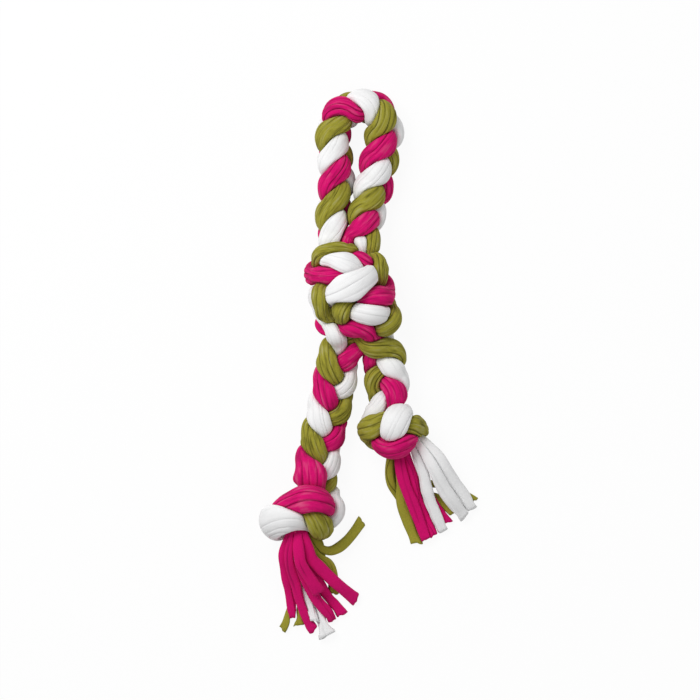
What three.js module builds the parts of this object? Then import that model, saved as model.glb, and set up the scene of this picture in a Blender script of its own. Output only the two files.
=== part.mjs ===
// Rope dog toy: three strands of rolled cloth strips, white, pink and green, plaited into one rope.
// The rope is folded into a hand loop, its two halves are tied round each other in a centre knot, and
// each of the two legs ends in an overhand knot and a tassel of loose strips. It lies flat on a
// surface. Millimetres, +Z up, +Y towards the hand loop. The origin is on the surface under the centre
// knot.

import * as THREE from 'three';

// Driving dimensions.
const STRAND_RADIUS = 9.6;
const STRAND_PACKING = 5.6;
const PLAIT_HALF_WIDTH = 8.9;
const PLAIT_HALF_DEPTH = 5.1;
const SIDE_CLEARANCE = 1.8;
const END_CLEARANCE = 0.3;
const NECK_LIFT = 1.5;
const STRIP_FLATNESS = 0.62;
const STRIP_PACKING = 0.62;
const REST_HEIGHT = 0.78;
const REST_SNAP = 1.5;
const ROOT_IN_KNOT = 8;
const ROOT_REACH = 10;
const LEG_IN_KNOT = 8;
const LEAST_REACH = 0.6;

// Levels of y between which the rope bends where two bodies of the toy join.
const RIGHT_NECK = { knot: -44, leg: -78 };
const LEFT_NECK = { knot: -46, leg: -86 };
const LOOP_NECK = { knot: 56, loop: 94 };

// How finely the curves and their skins are divided.
const CURVE_SAMPLES = 24;
const POINT_STEP = 4;
const PLAIT_POINT_EVERY = 3;
const RING_STEP = 5.2;
const STRIP_RING_STEP = 6;
const RING_SIDES = 8;

// How the strands settle: how many rounds, how far ahead they feel each other, and how strongly they
// are pushed, smoothed and pulled back to where they started.
const SETTLE_ROUNDS = 100;
const SETTLE_REFRESH = 10;
const SETTLE_REACH = 5;
const SETTLE_PUSH = 0.65;
const SETTLE_SMOOTHING = 0.2;
const SETTLE_ANCHOR = 0.04;
const PACKING_LEAST = 0.55;
const PACKING_MOST = 1.1;

// How near two points of one strand may be along it and still count as neighbours that don't press on
// each other.
const NEIGHBOUR_RATIO = 1.6;
const SELF_SPAN = 14;
const SELF_RATIO = 1.45;
const BEND_SHARE = 0.8;
const SEARCH_RATIO = 2.1;

const COLOURS = {
  green: new THREE.Color(0x8c8a34),
  pink: new THREE.Color(0xd01a70),
  white: new THREE.Color(0xf5f3f3),
};
const STRAND_NAMES = ['green', 'pink', 'white'];

// The routes. A plaited stretch is a list of rope middles [x, y, z], each with its tilt (the angle of
// the plait's width above the surface, in degrees) and, at some points, the phase of the green strand
// in degrees.
const RIGHT_LEG = [
  { at: [32.5, -86.5, 20], tilt: -25, phase: 48 },
  { at: [30.5, -66.5, 17], tilt: -25 },
  { at: [28.5, -50.5, 19], tilt: -25, phase: 246 },
];

const LOOP = [
  { at: [-17, 61, 22], tilt: 78 },
  { at: [-16, 83.5, 19], tilt: 77, phase: 90 },
  { at: [-14, 110, 18], tilt: 77, phase: 198 },
  { at: [-15.5, 133, 18], tilt: 77, phase: 338 },
  { at: [-16, 153, 18], tilt: 79, phase: 443 },
  { at: [-9.5, 167.5, 18], tilt: 84 },
  { at: [7, 175, 18], tilt: 92 },
  { at: [23.5, 170.5, 18], tilt: 104 },
  { at: [29, 157.5, 18], tilt: 112, phase: 808 },
  { at: [26, 135, 18], tilt: 114 },
  { at: [22, 112.5, 18], tilt: 114 },
  { at: [16, 90, 19], tilt: 112, phase: 1132 },
  { at: [10.5, 65, 24], tilt: 105 },
];

const LEFT_LEG = [
  { at: [-12.5, -51.5, 20], tilt: -25, phase: -98 },
  { at: [-16, -75.5, 16], tilt: -25 },
  { at: [-20.5, -99, 15], tilt: -25 },
  { at: [-27, -123.5, 16], tilt: -25, phase: 258 },
  { at: [-30.5, -138, 18], tilt: -25 },
];

// Degrees of phase gained for each millimetre of rope where a list gives no phase: one turn of the
// plait in 72 mm.
const PLAIT_TURN = 72;

// Inside the knots each strand has its own points, [x, y, z, girth], from the loop down to the leg in
// the centre knot and from the leg to the tassel in an end knot. Girth is 1 where it is left out, less
// where the knot squeezes it.
const CENTRE_KNOT_TO_RIGHT_LEG = {
  green: [
    [-1, 51, 24, 0.7], [1.5, 42, 37, 0.55], [-5.5, 45.5, 48, 0.6], [-16.5, 47, 52, 0.65],
    [-26.5, 43, 46, 0.65], [-31.5, 34, 34, 0.7], [-28.5, 24, 18, 0.8], [-24, 15.5, 32, 0.8],
    [-27.5, 7, 45, 0.85], [-29, -2.5, 48, 0.85], [-26, -12.5, 43, 0.8], [-17, -20, 27, 0.6],
    [-6, -18, 38, 0.6], [-11.5, -10, 56, 0.95], [-5, -2, 53, 0.7], [1, -9, 36, 0.5], [2, -22, 24, 0.65],
    [12, -33.5, 27, 0.85], [22.5, -39.5, 35, 1],
  ],
  pink: [
    [-7, 45, 30], [-11.5, 35, 22], [-22, 30, 6], [-30, 24.5, 22], [-27.5, 21.5, 43, 1.2],
    [-17, 22.5, 52, 1.1], [-5.5, 25.5, 48, 0.8], [4, 18, 24, 0.9], [2, 7, 5], [-3, -3, 4],
    [-15, -11, 4], [-25, -18.5, 10], [-21.5, -23.5, 20], [-11, -23, 31, 0.8], [1.5, -24, 47, 1.1],
    [12.5, -26, 47], [19.5, -32.5, 30, 0.9], [22, -41, 20],
  ],
  white: [
    [-20, 45, 32], [-26, 36.5, 42, 0.8], [-16, 35.5, 54], [-6.5, 33.5, 57, 1.05], [3.5, 30, 53, 0.85],
    [11.5, 24, 34, 0.8], [17, 15, 6], [14, 3, 12], [-2, -6, 38, 0.7], [7, -11, 54, 1.05],
    [18.5, -13.5, 57, 1.15], [27, -13, 47, 1.05], [28.5, -21, 28, 0.9], [28.5, -36, 14, 0.9],
  ],
};

const CENTRE_KNOT_TO_LEFT_LEG = {
  green: [
    [17.5, 46, 37, 0.85], [15, 38, 34, 0.5], [20, 33, 43, 0.7], [25, 26, 45, 0.85], [25, 17.5, 32, 0.7],
    [24.5, 8.5, 13, 0.75], [28.5, -0.5, 8], [32.5, -6, 20, 0.9], [36.5, -13, 36, 0.8],
    [36, -20, 45, 0.85], [28.5, -25.5, 44, 0.85], [19.5, -29.5, 34, 0.7], [10, -33.5, 24, 0.7],
    [2, -35.5, 24, 0.8], [-10, -38, 14, 0.8], [-20.5, -42, 17, 0.95],
  ],
  pink: [
    [-3, 50, 26, 0.8], [-0.5, 43.5, 36, 0.7], [5.5, 37.5, 48, 0.8], [12, 31.5, 47, 0.8],
    [18.5, 24, 26, 0.8], [24.5, 13, 15, 0.9], [29, 5.5, 29, 0.9], [28, 2.5, 46, 1.2],
    [19.5, 2, 54, 1.2], [11.5, -2, 53], [3.5, -6, 38, 0.7], [-2, -14, 22, 0.8], [3, -28, 15, 0.8],
    [7, -36, 20, 0.8], [6, -42, 28, 0.9],
  ],
  white: [
    [10, 56, 30, 0.8], [3.5, 49, 39.5, 0.95], [8.5, 42, 32, 0.6], [12, 35, 28, 0.6],
    [13.5, 28.5, 36, 0.8], [10.5, 18.5, 55, 1.6], [-0.5, 12, 60, 1.8], [-11.5, 5.5, 57, 1.5],
    [-18.5, 2, 44, 1.1], [-25, 6, 29, 0.8], [-31.5, 9, 20, 0.9], [-33, 0.5, 14, 0.9],
    [-28, -9, 14, 0.8], [-22, -16.5, 20, 0.75], [-17, -23.5, 33, 0.75], [-14.5, -31, 40, 0.9],
    [-11.5, -38.5, 25, 0.75],
  ],
};

const RIGHT_END_KNOT = {
  green: [
    [31.5, -100.5, 24, 0.6], [36.5, -113.5, 20, 0.6], [33, -123.5, 12, 0.7], [22.5, -124, 10],
    [16, -119.5, 23, 1.1], [21, -114.5, 40, 1.25], [30, -112, 43, 1.1], [38.5, -110.5, 36, 0.8],
    [46, -110, 44, 1.15], [53, -112.5, 39, 1.2], [55.5, -119, 21], [47.5, -115.5, 7, 0.8],
    [40.5, -120.5, 14, 0.6], [40, -133, 20, 0.6],
  ],
  pink: [
    [38, -98.5, 28, 0.9], [40, -111, 22, 0.6], [30.5, -118, 20, 0.8], [27.5, -122, 29],
    [33.5, -127, 40, 1.25], [42, -129, 45, 1.3], [49.5, -126, 40, 1.15], [53, -122, 25, 0.8],
    [49, -113.5, 12, 0.7], [43, -112.5, 22, 0.6], [45, -127.5, 24, 0.6],
  ],
  white: [
    [26.5, -97.5, 24, 0.9], [17.5, -103, 27, 0.95], [17, -112, 11, 0.8], [26.5, -120.5, 9, 0.7],
    [30, -123, 29, 0.7], [34, -117.5, 48, 1.15], [40, -109.5, 49, 1.15], [46, -103.5, 38, 0.9],
    [46.5, -103, 18, 0.8], [42, -111, 6, 0.8], [51, -120, 14, 0.6], [57.5, -126, 26, 0.95],
  ],
};

const LEFT_END_KNOT = {
  green: [
    [-26, -148, 13, 0.75], [-25.5, -157.5, 9, 0.7], [-21.5, -167.5, 17, 0.7], [-28, -177.5, 9, 0.8],
    [-38, -183.5, 8, 0.8], [-47.5, -188, 12, 0.7], [-45, -188, 32, 0.8], [-38.5, -192.5, 44, 1.25],
    [-31, -199.5, 41, 1.25], [-27, -205, 24], [-34, -207, 10, 0.8], [-41, -199, 18, 0.6],
  ],
  pink: [
    [-41, -146, 26, 1.1], [-38, -155.5, 34, 1.55], [-36, -165.5, 34, 1.55], [-34, -175, 24],
    [-40, -188.5, 20, 0.6], [-52, -203, 7, 0.7], [-64, -198, 11], [-64, -189, 30],
    [-55, -183.5, 42, 1.2], [-41, -179.5, 47, 1.4], [-28, -182, 44, 1.3], [-22, -187, 28],
    [-26, -192, 12, 0.8], [-36.5, -195.5, 18, 0.6], [-42, -199, 28, 0.65], [-47.5, -204, 35, 0.8],
  ],
  white: [
    [-20.5, -147.5, 21, 0.9], [-21, -156, 18, 0.85], [-26, -166, 9, 0.8], [-19.5, -180, 18, 0.9],
    [-18, -189, 25], [-21.5, -196, 22], [-30.5, -201.5, 10], [-40, -200.5, 28, 0.8],
    [-47, -196.5, 41, 1.25], [-59, -193.5, 46, 1.5], [-69.5, -199, 38, 1.4], [-72.5, -207.5, 22],
    [-65, -211, 7, 0.8], [-54.5, -203, 8, 0.6], [-48.5, -202.5, 14, 0.6],
  ],
};

// The bundles of strips where they leave an end knot, before they spread.
const RIGHT_TASSEL_ROOT = {
  green: [[38.5, -144, 17, 0.9], [39.5, -156, 12, 0.9]],
  pink: [[46, -144, 23, 0.9], [50, -157, 19, 1]],
  white: [[64, -134, 28, 1], [72, -148, 25, 1.15]],
};

const LEFT_TASSEL_ROOT = {
  green: [[-40, -212, 17, 0.8], [-33.5, -224, 14, 0.8]],
  pink: [[-50.5, -212, 37.5, 1.1], [-49.5, -229, 31, 1.45]],
  white: [[-53, -215, 9, 0.8], [-50, -229, 8, 0.9]],
};

// The loose strips of the tassels. Each leaves the end of its root bundle at an offset [across, up]
// from the bundle's middle, and runs on through its points to its cut end. Half is half of a strip's
// width.
const LEFT_STRIPS = [
  {
    name: 'pink_1', half: 5.2, offset: [-12, -3],
    at: [[-59.5, -247, 19], [-55.5, -268, 9], [-53.5, -287, 2.5]],
  },
  {
    name: 'pink_2', half: 5.4, offset: [-6.5, 3],
    at: [[-53, -248, 23], [-45.5, -274, 11], [-34.5, -298.5, 2.5]],
  },
  {
    name: 'pink_3', half: 5.8, offset: [0.5, 4],
    at: [[-44, -247, 25], [-32.5, -271, 14], [-20.5, -290, 2.5]],
  },
  {
    name: 'pink_4', half: 5.5, offset: [2, 10],
    at: [[-42.5, -243, 34], [-36.5, -253.5, 30], [-30, -264, 23]],
  },
  {
    name: 'pink_5', half: 6, offset: [11, 2],
    at: [[-30.5, -239.5, 27], [-19, -252, 20], [-7, -262.5, 12], [3, -271.5, 2.5]],
  },
  {
    name: 'pink_6', half: 5.4, offset: [6.5, -4],
    at: [[-34.5, -250, 16], [-20.5, -270, 5], [-9, -285.5, 2.5]],
  },
  {
    name: 'white_1', half: 8.6, offset: [4.5, 0],
    at: [[-40.5, -259, 7], [-30, -285, 2.5], [-23, -304.5, 2.5]],
  },
  {
    name: 'white_2', half: 5.4, offset: [-4.5, 0],
    at: [[-47, -255, 11], [-38.5, -273, 6], [-31, -290, 5]],
  },
  {
    name: 'green_1', half: 5, offset: [-2, 3],
    at: [[-20, -236, 13], [-16, -249, 9], [-17, -265.5, 2.5]],
  },
  {
    name: 'green_2', half: 5, offset: [2.5, 1],
    at: [[-18.5, -229, 11], [-9, -223.5, 9], [0, -214, 7], [9, -200.5, 2.5]],
  },
  {
    name: 'green_3', half: 4, offset: [-4, -3],
    at: [[-44, -246, 2.5], [-53, -275, 2.5], [-55, -290, 2.5], [-63, -299, 2.5]],
  },
  {
    name: 'green_4', half: 6.4, offset: [3, -3],
    at: [[-38, -252, 2.5], [-47.5, -277, 2.5], [-49, -295, 2.5]],
  },
];

const RIGHT_STRIPS = [
  {
    name: 'green_1', half: 5.6, offset: [-4.5, 2],
    at: [[41, -171, 5], [50, -189, 3]],
  },
  {
    name: 'green_2', half: 6, offset: [3.5, 2.5],
    at: [[44.5, -177.5, 8], [51, -199, 4], [59.5, -220.5, 2.5]],
  },
  {
    name: 'green_3', half: 5.8, offset: [-3, -2.5],
    at: [[60, -176, 2.5], [78, -182, 2.5], [92, -193, 2.5]],
  },
  {
    name: 'green_4', half: 4, offset: [4, -2.5],
    at: [[60, -168, 2.5], [84.5, -166, 2.5], [110.5, -182.5, 2.5]],
  },
  {
    name: 'pink_1', half: 6.2, offset: [-4.5, 4],
    at: [[52.5, -176, 16], [58.5, -192.5, 11], [67, -216.5, 5]],
  },
  {
    name: 'pink_2', half: 6, offset: [4, 1],
    at: [[58.5, -176, 11], [65, -192.5, 6], [74, -213.5, 2.5]],
  },
  {
    name: 'pink_3', half: 5.4, offset: [3, -4],
    at: [[72, -181, 7], [87, -201.5, 2.5]],
  },
  {
    name: 'white_1', half: 5.8, offset: [-10.5, 0],
    at: [[65.5, -168, 20], [73, -187, 13], [82.5, -208.5, 4]],
  },
  {
    name: 'white_2', half: 7.2, offset: [-0.5, 4],
    at: [[83, -170.5, 20], [102, -195, 4]],
  },
  {
    name: 'white_3', half: 6.8, offset: [7.5, 0],
    at: [[90, -163, 16], [99.5, -174, 10], [109, -188.5, 3]],
  },
];

const UP = new THREE.Vector3(0, 0, 1);
const vector = (values) => new THREE.Vector3(values[0], values[1], values[2]);

// A smooth curve through the points, in even steps, with the distance along it at each point it was given.
function evenCurve(points, step) {
  const curve = new THREE.CatmullRomCurve3(points, false, 'centripetal');
  const fine = CURVE_SAMPLES;
  const spans = points.length - 1;
  const line = [];
  const lengths = [0];
  for (let i = 0; i <= spans * fine; i += 1) {
    line.push(curve.getPoint(i / (spans * fine)));
    if (i > 0) lengths.push(lengths[i - 1] + line[i].distanceTo(line[i - 1]));
  }
  const stations = points.map((point, i) => lengths[i * fine]);
  const length = lengths[lengths.length - 1];
  const count = Math.max(2, Math.round(length / step));
  const even = [];
  let at = 0;
  for (let i = 0; i <= count; i += 1) {
    const target = (length * i) / count;
    while (at < lengths.length - 2 && lengths[at + 1] < target) at += 1;
    const share = (target - lengths[at]) / (lengths[at + 1] - lengths[at]);
    even.push(line[at].clone().lerp(line[at + 1], Math.min(1, share)));
  }
  return { points: even, stations, length };
}

function tangents(points) {
  return points.map((point, i) => {
    const before = points[Math.max(0, i - 1)];
    const after = points[Math.min(points.length - 1, i + 1)];
    return after.clone().sub(before).normalize();
  });
}

// A direction square to the curve at every point, carried along it without twisting.
function carriedSides(directions) {
  const first = new THREE.Vector3().crossVectors(UP, directions[0]);
  if (first.length() < 0.1) first.set(1, 0, 0);
  const sides = [];
  let side = first;
  for (const direction of directions) {
    side = side.clone().addScaledVector(direction, -side.dot(direction)).normalize();
    sides.push(side);
  }
  return sides;
}

// The value at a distance, between listed distances.
function between(stations, values, distance) {
  if (distance <= stations[0]) return values[0];
  for (let i = 1; i < stations.length; i += 1) {
    if (distance <= stations[i]) {
      const share = (distance - stations[i - 1]) / (stations[i] - stations[i - 1]);
      return values[i - 1] + share * (values[i] - values[i - 1]);
    }
  }
  return values[values.length - 1];
}

// The middles of the three strands along a plaited stretch: each swings from side to side of the rope
// and passes over one neighbour and under the other.
function plait(route) {
  const rope = evenCurve(route.map((stop) => vector(stop.at)), POINT_STEP);
  const directions = tangents(rope.points);
  const phaseStops = route.map((stop, i) => ({ station: rope.stations[i], phase: stop.phase }));
  const given = phaseStops.filter((stop) => stop.phase !== undefined);
  const first = given[0];
  const last = given[given.length - 1];
  const stations = [0, ...given.map((stop) => stop.station), rope.length];
  const phases = [
    first.phase - (360 * first.station) / PLAIT_TURN,
    ...given.map((stop) => stop.phase),
    last.phase + (360 * (rope.length - last.station)) / PLAIT_TURN,
  ];
  const strands = STRAND_NAMES.map(() => []);
  const lastPoint = rope.points.length - 1;
  for (let i = 0; i <= lastPoint; i += 1) {
    if (i % PLAIT_POINT_EVERY !== 0 && i !== lastPoint) continue;
    const distance = (rope.length * i) / lastPoint;
    const direction = directions[i];
    const level = new THREE.Vector3().crossVectors(UP, direction).normalize();
    const upright = new THREE.Vector3().crossVectors(direction, level);
    const tilt = THREE.MathUtils.degToRad(between(rope.stations, route.map((stop) => stop.tilt), distance));
    const wide = level.clone().multiplyScalar(Math.cos(tilt)).addScaledVector(upright, Math.sin(tilt));
    const deep = new THREE.Vector3().crossVectors(direction, wide);
    const phase = THREE.MathUtils.degToRad(between(stations, phases, distance));
    strands.forEach((strand, k) => {
      const turn = phase - (2 * Math.PI * k) / strands.length;
      strand.push(
        rope.points[i].clone()
          .addScaledVector(wide, PLAIT_HALF_WIDTH * Math.sin(turn))
          .addScaledVector(deep, -PLAIT_HALF_DEPTH * Math.sin(2 * turn)),
      );
    });
  }
  return strands;
}

// Points of a knot with their girths, as one stretch of a strand.
function knotStretch(name, points, reverse = false) {
  const ordered = reverse ? [...points].reverse() : points;
  return { name, points: ordered.map(vector), girths: ordered.map((values) => values[3] ?? 1) };
}

function plaitStretch(name, points) {
  return { name, points, girths: points.map(() => 1) };
}

// One strand from the right tassel through the whole rope to the left tassel.
function strandCurve(colour, stretches) {
  const points = stretches.flatMap((stretch) => stretch.points);
  const girths = stretches.flatMap((stretch) => stretch.girths);
  const even = evenCurve(points, POINT_STEP);
  const count = even.points.length - 1;
  const girth = even.points.map((point, i) => between(even.stations, girths, (even.length * i) / count));
  const ends = {};
  let index = -1;
  for (const stretch of stretches) {
    index += stretch.points.length;
    ends[stretch.name] = even.stations[index];
  }
  return {
    colour,
    points: even.points,
    radius: girth.map((value) => STRAND_RADIUS * value),
    packing: girth.map((value) => STRAND_PACKING * THREE.MathUtils.clamp(value, PACKING_LEAST, PACKING_MOST)),
    flatness: 1,
    ends,
    length: even.length,
  };
}

// A strip starts square to the end of its root bundle, END_CLEARANCE from it.
function stripCurve(side, strip) {
  const colour = STRAND_NAMES.find((name) => strip.name.startsWith(name));
  const bundle = strands.find((strand) => strand.colour === colour);
  const points = side === 'left' ? bundle.points : [...bundle.points].reverse();
  const end = points[points.length - 1];
  const direction = end.clone().sub(points[points.length - 2]).normalize();
  const across = new THREE.Vector3().crossVectors(UP, direction).normalize();
  const upward = new THREE.Vector3().crossVectors(direction, across);
  const start = end.clone().addScaledVector(direction, END_CLEARANCE)
    .addScaledVector(across, strip.offset[0])
    .addScaledVector(upward, strip.offset[1]);
  const straight = start.clone().addScaledVector(direction, POINT_STEP);
  const even = evenCurve([start, straight, ...strip.at.map(vector)], POINT_STEP);
  return {
    name: `${side}_strip_${strip.name}`,
    colour,
    bundle,
    bundleEnd: side === 'left' ? points.length - 1 : 0,
    points: even.points,
    radius: even.points.map(() => strip.half),
    packing: even.points.map(() => strip.half * STRIP_PACKING),
    flatness: STRIP_FLATNESS,
    length: even.length,
    firstDirection: direction,
  };
}

// Push the curves apart until they lie beside one another and on the surface, as soft strands do.
// Curves that lie fixed push but aren't pushed, and the first two points of a strip stay at its root.
function settle(curves, fixed = []) {
  const start = curves.map((curve) => curve.points.map((point) => point.clone()));
  const all = [...curves, ...fixed].flatMap((curve, c) => curve.points.map((point, i) => ({
    c, i, point, pack: curve.packing[i], held: c >= curves.length || (curve.firstDirection && i < 2),
  })));
  let pairs = [];
  for (let round = 0; round < SETTLE_ROUNDS; round += 1) {
    if (round % SETTLE_REFRESH === 0) {
      pairs = [];
      for (let a = 0; a < all.length; a += 1) {
        for (let b = a + 1; b < all.length; b += 1) {
          if (all[a].held && all[b].held) continue;
          const apart = all[a].pack + all[b].pack;
          if (all[a].point.distanceToSquared(all[b].point) >= (apart + SETTLE_REACH) ** 2) continue;
          const along = Math.abs(all[a].i - all[b].i) * POINT_STEP;
          const neighbours = all[a].c === all[b].c && along < NEIGHBOUR_RATIO * apart;
          if (!neighbours) pairs.push([a, b, apart]);
        }
      }
    }
    const pushes = all.map(() => new THREE.Vector3());
    const hits = all.map(() => 0);
    for (const [a, b, apart] of pairs) {
      const gap = all[a].point.clone().sub(all[b].point);
      const distance = gap.length() + 1e-9;
      if (distance >= apart) continue;
      gap.multiplyScalar((apart - distance) / distance);
      pushes[a].add(gap);
      pushes[b].sub(gap);
      hits[a] += 1;
      hits[b] += 1;
    }
    all.forEach((item, k) => {
      if (!item.held) item.point.addScaledVector(pushes[k], SETTLE_PUSH / Math.max(1, hits[k]));
    });
    curves.forEach((curve, c) => {
      const moved = curve.points.map((point) => point.clone());
      const firstFree = curve.firstDirection ? 2 : 1;
      for (let i = firstFree; i < moved.length - 1; i += 1) {
        const middle = moved[i - 1].clone().add(moved[i + 1]).multiplyScalar(0.5);
        curve.points[i].lerp(middle, SETTLE_SMOOTHING);
      }
      for (let i = curve.firstDirection ? 2 : 0; i < moved.length; i += 1) {
        curve.points[i].lerp(start[c][i], SETTLE_ANCHOR);
        curve.points[i].z = Math.max(curve.points[i].z, REST_HEIGHT * curve.radius[i] * curve.flatness);
      }
    });
  }
}

// Everything that a ring needs at a distance along a settled curve.
function sample(curve, distance) {
  const count = curve.points.length - 1;
  const place = THREE.MathUtils.clamp((distance / curve.length) * count, 0, count - 1e-6);
  const i = Math.floor(place);
  const share = place - i;
  const at = (k) => curve.points[THREE.MathUtils.clamp(k, 0, count)];
  const slope = (k) => at(k + 1).clone().sub(at(k - 1)).normalize();
  const bend = (k) => slope(k + 1).sub(slope(k - 1)).divideScalar(2 * POINT_STEP);
  const atRoot = curve.firstDirection && place < 1e-6;
  return {
    place,
    middle: at(i).clone().lerp(at(i + 1), share),
    direction: atRoot ? curve.firstDirection : slope(i).lerp(slope(i + 1), share).normalize(),
    bend: bend(i).lerp(bend(i + 1), share),
    radius: THREE.MathUtils.lerp(curve.radius[i], curve.radius[i + 1], share),
  };
}

// Whether a point of a strip and a point of its bundle are both within ROOT_REACH of where they join,
// and so are one cloth that doesn't press on itself.
function joined(strip, stripPlace, bundlePlace) {
  const reach = ROOT_REACH / POINT_STEP;
  return stripPlace < reach && Math.abs(bundlePlace - strip.bundleEnd) < reach;
}

// How far the skin stands from the middle in one direction: its own radius, or half way to whatever
// lies beside it.
function reachOut(curves, curve, spot, outward, radius) {
  let reach = radius;
  const towardBend = outward.dot(spot.bend);
  if (towardBend > 1e-4) reach = Math.min(reach, BEND_SHARE / towardBend);
  const gap = new THREE.Vector3();
  for (const other of curves) {
    for (let i = 0; i < other.points.length; i += 1) {
      gap.copy(other.points[i]).sub(spot.middle);
      const facing = gap.dot(outward);
      if (facing <= 1e-3) continue;
      const squared = gap.lengthSq();
      if (squared > (SEARCH_RATIO * radius) ** 2) continue;
      if (other === curve) {
        const along = Math.abs(i - spot.place) * POINT_STEP;
        if (along < SELF_SPAN || along < SELF_RATIO * Math.sqrt(squared)) continue;
      }
      if (other.bundle === curve && joined(other, i, spot.place)) continue;
      if (curve.bundle === other && joined(curve, spot.place, i)) continue;
      reach = Math.min(reach, squared / (2 * facing) - SIDE_CLEARANCE / 2);
    }
  }
  return Math.max(reach, LEAST_REACH);
}

// The closed skin of a curve between two distances along it, cut square at both ends.
function skin(curves, curve, from, to, ringStep, lowest) {
  const rings = Math.max(2, Math.round((to - from) / ringStep));
  const spots = [];
  for (let j = 0; j <= rings; j += 1) spots.push(sample(curve, from + ((to - from) * j) / rings));
  const level = curve.flatness < 1;
  const sides = level
    ? spots.map((spot) => new THREE.Vector3().crossVectors(UP, spot.direction).normalize())
    : carriedSides(spots.map((spot) => spot.direction));
  const positions = [];
  spots.forEach((spot, j) => {
    const other = new THREE.Vector3().crossVectors(spot.direction, sides[j]);
    for (let k = 0; k < RING_SIDES; k += 1) {
      const angle = (2 * Math.PI * k) / RING_SIDES;
      const outward = sides[j].clone().multiplyScalar(Math.cos(angle))
        .addScaledVector(other, Math.sin(angle));
      const full = spot.radius / Math.hypot(Math.cos(angle), Math.sin(angle) / curve.flatness);
      let reach = reachOut(curves, curve, spot, outward, full);
      const drop = outward.z < 0 ? (lowest - spot.middle.z) / outward.z : Infinity;
      if (drop < reach + REST_SNAP) reach = drop;
      const point = spot.middle.clone().addScaledVector(outward, reach);
      positions.push(point.x, point.y, point.z);
    }
  });
  const index = [];
  for (let j = 0; j < rings; j += 1) {
    for (let k = 0; k < RING_SIDES; k += 1) {
      const a = j * RING_SIDES + k;
      const b = j * RING_SIDES + ((k + 1) % RING_SIDES);
      index.push(a, b, a + RING_SIDES, b, b + RING_SIDES, a + RING_SIDES);
    }
  }
  const firstCap = positions.length / 3;
  for (const spot of [spots[0], spots[rings]]) positions.push(spot.middle.x, spot.middle.y, spot.middle.z);
  const lastRing = rings * RING_SIDES;
  for (let k = 0; k < RING_SIDES; k += 1) {
    const next = (k + 1) % RING_SIDES;
    index.push(firstCap, next, k);
    index.push(firstCap + 1, lastRing + k, lastRing + next);
  }
  const geometry = new THREE.BufferGeometry();
  geometry.setAttribute('position', new THREE.Float32BufferAttribute(positions, 3));
  geometry.setIndex(index);
  geometry.computeVertexNormals();
  return geometry;
}

function cloth(colour) {
  return new THREE.MeshStandardMaterial({ color: COLOURS[colour], roughness: 0.9, metalness: 0 });
}

const rightLeg = plait(RIGHT_LEG);
const loop = plait(LOOP);
const leftLeg = plait(LEFT_LEG);

const strands = STRAND_NAMES.map((colour, k) => strandCurve(colour, [
  knotStretch('right_tassel_root', RIGHT_TASSEL_ROOT[colour], true),
  knotStretch('right_end_knot', RIGHT_END_KNOT[colour], true),
  plaitStretch('right_leg', rightLeg[k]),
  knotStretch('centre_knot_right', CENTRE_KNOT_TO_RIGHT_LEG[colour], true),
  plaitStretch('loop', loop[k]),
  knotStretch('centre_knot_left', CENTRE_KNOT_TO_LEFT_LEG[colour]),
  plaitStretch('left_leg', leftLeg[k]),
  knotStretch('left_end_knot', LEFT_END_KNOT[colour]),
  knotStretch('left_tassel_root', LEFT_TASSEL_ROOT[colour]),
]));
settle(strands);
const strips = [
  ...LEFT_STRIPS.map((strip) => stripCurve('left', strip)),
  ...RIGHT_STRIPS.map((strip) => stripCurve('right', strip)),
];
settle(strips, strands);
const curves = [...strands, ...strips];

const toy = new THREE.Group();

function addStretch(name, curve, from, to, ringStep, lowest) {
  const mesh = new THREE.Mesh(skin(curves, curve, from, to, ringStep, lowest), cloth(curve.colour));
  mesh.name = name;
  toy.add(mesh);
}

// The distance at which a strand next crosses a level of y, from a distance along it.
function crossing(strand, level, from) {
  const last = strand.points.length - 1;
  for (let i = Math.floor((from / strand.length) * last); i < last; i += 1) {
    const before = strand.points[i].y - level;
    const after = strand.points[i + 1].y - level;
    if (before * after <= 0) return (strand.length * (i + before / (before - after))) / last;
  }
  return strand.length;
}

for (const strand of strands) {
  const { ends, colour, length } = strand;
  const rightLegEnd = crossing(strand, RIGHT_NECK.leg, ends.right_end_knot);
  const loopLeftEnd = crossing(strand, LOOP_NECK.knot, ends.centre_knot_right - POINT_STEP);
  const loopRightStart = crossing(strand, LOOP_NECK.loop, (ends.centre_knot_right + ends.loop) / 2);
  const leftKnotEnd = crossing(strand, LEFT_NECK.knot, ends.centre_knot_left - POINT_STEP);
  const cuts = [
    ['right_tassel_root', ends.right_tassel_root + ROOT_IN_KNOT],
    ['right_end_knot', rightLegEnd],
    ['right_leg_neck', crossing(strand, RIGHT_NECK.knot, rightLegEnd)],
    ['centre_knot_right', loopLeftEnd],
    ['loop_neck_left', crossing(strand, LOOP_NECK.loop, loopLeftEnd)],
    ['hand_loop', loopRightStart],
    ['loop_neck_right', crossing(strand, LOOP_NECK.knot, loopRightStart)],
    ['centre_knot_left', leftKnotEnd],
    ['left_leg_neck', crossing(strand, LEFT_NECK.leg, leftKnotEnd)],
    ['left_leg', ends.left_leg - LEG_IN_KNOT],
    ['left_end_knot', ends.left_end_knot + ROOT_IN_KNOT],
    ['left_tassel_root', length],
  ];
  cuts.forEach(([name, end], i) => {
    const from = i === 0 ? 0 : cuts[i - 1][1] + END_CLEARANCE / 2;
    const to = i === cuts.length - 1 ? length : end - END_CLEARANCE / 2;
    const bends = name.includes('neck') || name.includes('root');
    addStretch(`${name}_${colour}`, strand, from, to, RING_STEP, bends ? NECK_LIFT : 0);
  });
}
for (const strip of strips) addStretch(strip.name, strip, 0, strip.length, STRIP_RING_STEP, 0);

export default toy;
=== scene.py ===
"""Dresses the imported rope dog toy: plaited strands of rolled jersey strips, three knots and two tassels."""

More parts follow.
